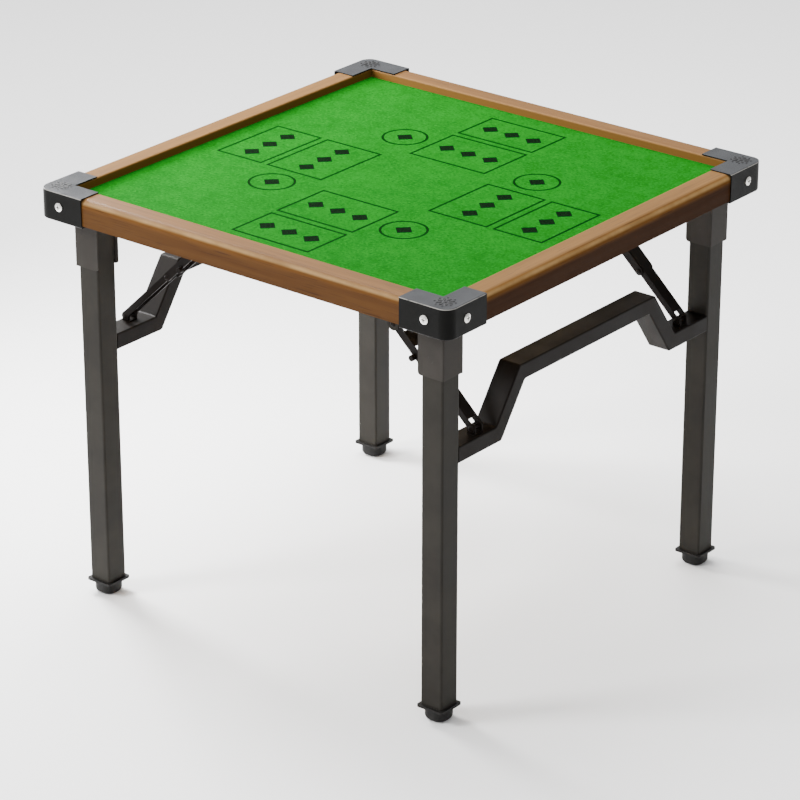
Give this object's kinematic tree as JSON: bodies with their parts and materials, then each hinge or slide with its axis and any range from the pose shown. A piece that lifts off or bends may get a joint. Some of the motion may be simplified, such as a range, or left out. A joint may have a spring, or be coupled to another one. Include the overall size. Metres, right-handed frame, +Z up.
{
  "type": "folding mahjong table",
  "caption": "Square folding games table: green felt playing surface in wooden rails with black corner caps, on hinged leg frames with stepped crossbars and folding stays.",
  "frame": {"origin": "floor level under the middle of the top", "axes": "+Z up; the leg frames stand at -X and +X and fold about axes along Y; -Y is the front"},
  "size_m": [0.8552, 0.8552, 0.74],
  "materials": {
    "board_wood": "plain board",
    "felt": "short green nap with thin printed outlines",
    "rail_wood": "stained, satin",
    "cap_plastic": "black moulded, satin",
    "bright_screw": "bright nickel",
    "frame_paint": "dark grey powder coat",
    "zinc": "zinc plated",
    "nylon": "natural nylon",
    "foot_rubber": "black moulded",
    "stay_paint": "dark brown-grey powder coat"
  },
  "bodies": {
    "table_top": {"top_board": "board_wood", "playing_felt": "felt", "front_rail": "rail_wood", "rear_rail": "rail_wood", "left_rail": "rail_wood", "right_rail": "rail_wood", "front_left_corner_cap": "cap_plastic", "rear_left_corner_cap": "cap_plastic", "front_right_corner_cap": "cap_plastic", "rear_right_corner_cap": "cap_plastic", "corner_cap_screws": "bright_screw", "front_left_leg_bracket": "frame_paint", "rear_left_leg_bracket": "frame_paint", "front_right_leg_bracket": "frame_paint", "rear_right_leg_bracket": "frame_paint", "leg_bracket_screws": "zinc", "leg_hinge_pins": "frame_paint", "leg_hinge_washers": "nylon", "front_left_stay_bracket": "frame_paint", "rear_left_stay_bracket": "frame_paint", "front_right_stay_bracket": "frame_paint", "rear_right_stay_bracket": "frame_paint", "stay_bracket_screws": "zinc", "stay_bracket_rivets": "stay_paint"},
    "left_leg_frame": {"left_crossbar": "frame_paint", "left_hinge_bushes": "nylon", "left_stay_lug_rivets": "stay_paint", "front_left_leg": "frame_paint", "front_left_foot": "foot_rubber", "front_left_stay_lug": "frame_paint", "rear_left_leg": "frame_paint", "rear_left_foot": "foot_rubber", "rear_left_stay_lug": "frame_paint"},
    "right_leg_frame": {"right_crossbar": "frame_paint", "right_hinge_bushes": "nylon", "right_stay_lug_rivets": "stay_paint", "front_right_leg": "frame_paint", "front_right_foot": "foot_rubber", "front_right_stay_lug": "frame_paint", "rear_right_leg": "frame_paint", "rear_right_foot": "foot_rubber", "rear_right_stay_lug": "frame_paint"},
    "front_left_upper_stay": {"front_left_upper_link": "stay_paint", "front_left_knee_rivets": "stay_paint", "front_left_release_knob": "stay_paint"},
    "front_left_lower_stay": {"front_left_lower_link": "stay_paint"},
    "rear_left_upper_stay": {"rear_left_upper_link": "stay_paint", "rear_left_knee_rivets": "stay_paint", "rear_left_release_knob": "stay_paint"},
    "rear_left_lower_stay": {"rear_left_lower_link": "stay_paint"},
    "front_right_upper_stay": {"front_right_upper_link": "stay_paint", "front_right_knee_rivets": "stay_paint", "front_right_release_knob": "stay_paint"},
    "front_right_lower_stay": {"front_right_lower_link": "stay_paint"},
    "rear_right_upper_stay": {"rear_right_upper_link": "stay_paint", "rear_right_knee_rivets": "stay_paint", "rear_right_release_knob": "stay_paint"},
    "rear_right_lower_stay": {"rear_right_lower_link": "stay_paint"}
  },
  "joints": [
    {"name": "left_fold", "type": "hinge", "parent": "table_top", "child": "left_leg_frame", "pos_m": [-0.36, 0, 0.68], "axis": [0, -1, 0], "range_deg": [0, 90]},
    {"name": "right_fold", "type": "hinge", "parent": "table_top", "child": "right_leg_frame", "pos_m": [0.36, 0, 0.6305], "axis": [0, 1, 0], "range_deg": [0, 90]},
    {"name": "front_left_upper_pivot", "type": "hinge", "parent": "table_top", "child": "front_left_upper_stay", "pos_m": [-0.167, -0.28, 0.674], "axis": [0, -1, 0], "range_deg": [-45, 0]},
    {"name": "front_left_lower_pivot", "type": "hinge", "parent": "left_leg_frame", "child": "front_left_lower_stay", "pos_m": [-0.366, -0.28, 0.484], "axis": [0, -1, 0], "range_deg": [0, 48.5]},
    {"name": "rear_left_upper_pivot", "type": "hinge", "parent": "table_top", "child": "rear_left_upper_stay", "pos_m": [-0.167, 0.28, 0.674], "axis": [0, -1, 0], "range_deg": [-45, 0]},
    {"name": "rear_left_lower_pivot", "type": "hinge", "parent": "left_leg_frame", "child": "rear_left_lower_stay", "pos_m": [-0.366, 0.28, 0.484], "axis": [0, -1, 0], "range_deg": [0, 48.5]},
    {"name": "front_right_upper_pivot", "type": "hinge", "parent": "table_top", "child": "front_right_upper_stay", "pos_m": [0.2165, -0.28, 0.6245], "axis": [0, 1, 0], "range_deg": [-45, 0]},
    {"name": "front_right_lower_pivot", "type": "hinge", "parent": "right_leg_frame", "child": "front_right_lower_stay", "pos_m": [0.366, -0.28, 0.484], "axis": [0, 1, 0], "range_deg": [0, 48.5]},
    {"name": "rear_right_upper_pivot", "type": "hinge", "parent": "table_top", "child": "rear_right_upper_stay", "pos_m": [0.2165, 0.28, 0.6245], "axis": [0, 1, 0], "range_deg": [-45, 0]},
    {"name": "rear_right_lower_pivot", "type": "hinge", "parent": "right_leg_frame", "child": "rear_right_lower_stay", "pos_m": [0.366, 0.28, 0.484], "axis": [0, 1, 0], "range_deg": [0, 48.5]}
  ],
  "couplings": [
    {"joint": "front_left_upper_pivot", "follows": "left_fold", "ratio": -0.48527},
    {"joint": "front_left_lower_pivot", "follows": "left_fold", "ratio": 0.51473},
    {"joint": "rear_left_upper_pivot", "follows": "left_fold", "ratio": -0.48527},
    {"joint": "rear_left_lower_pivot", "follows": "left_fold", "ratio": 0.51473},
    {"joint": "front_right_upper_pivot", "follows": "right_fold", "ratio": -0.48025},
    {"joint": "front_right_lower_pivot", "follows": "right_fold", "ratio": 0.51975},
    {"joint": "rear_right_upper_pivot", "follows": "right_fold", "ratio": -0.48025},
    {"joint": "rear_right_lower_pivot", "follows": "right_fold", "ratio": 0.51975}
  ]
}
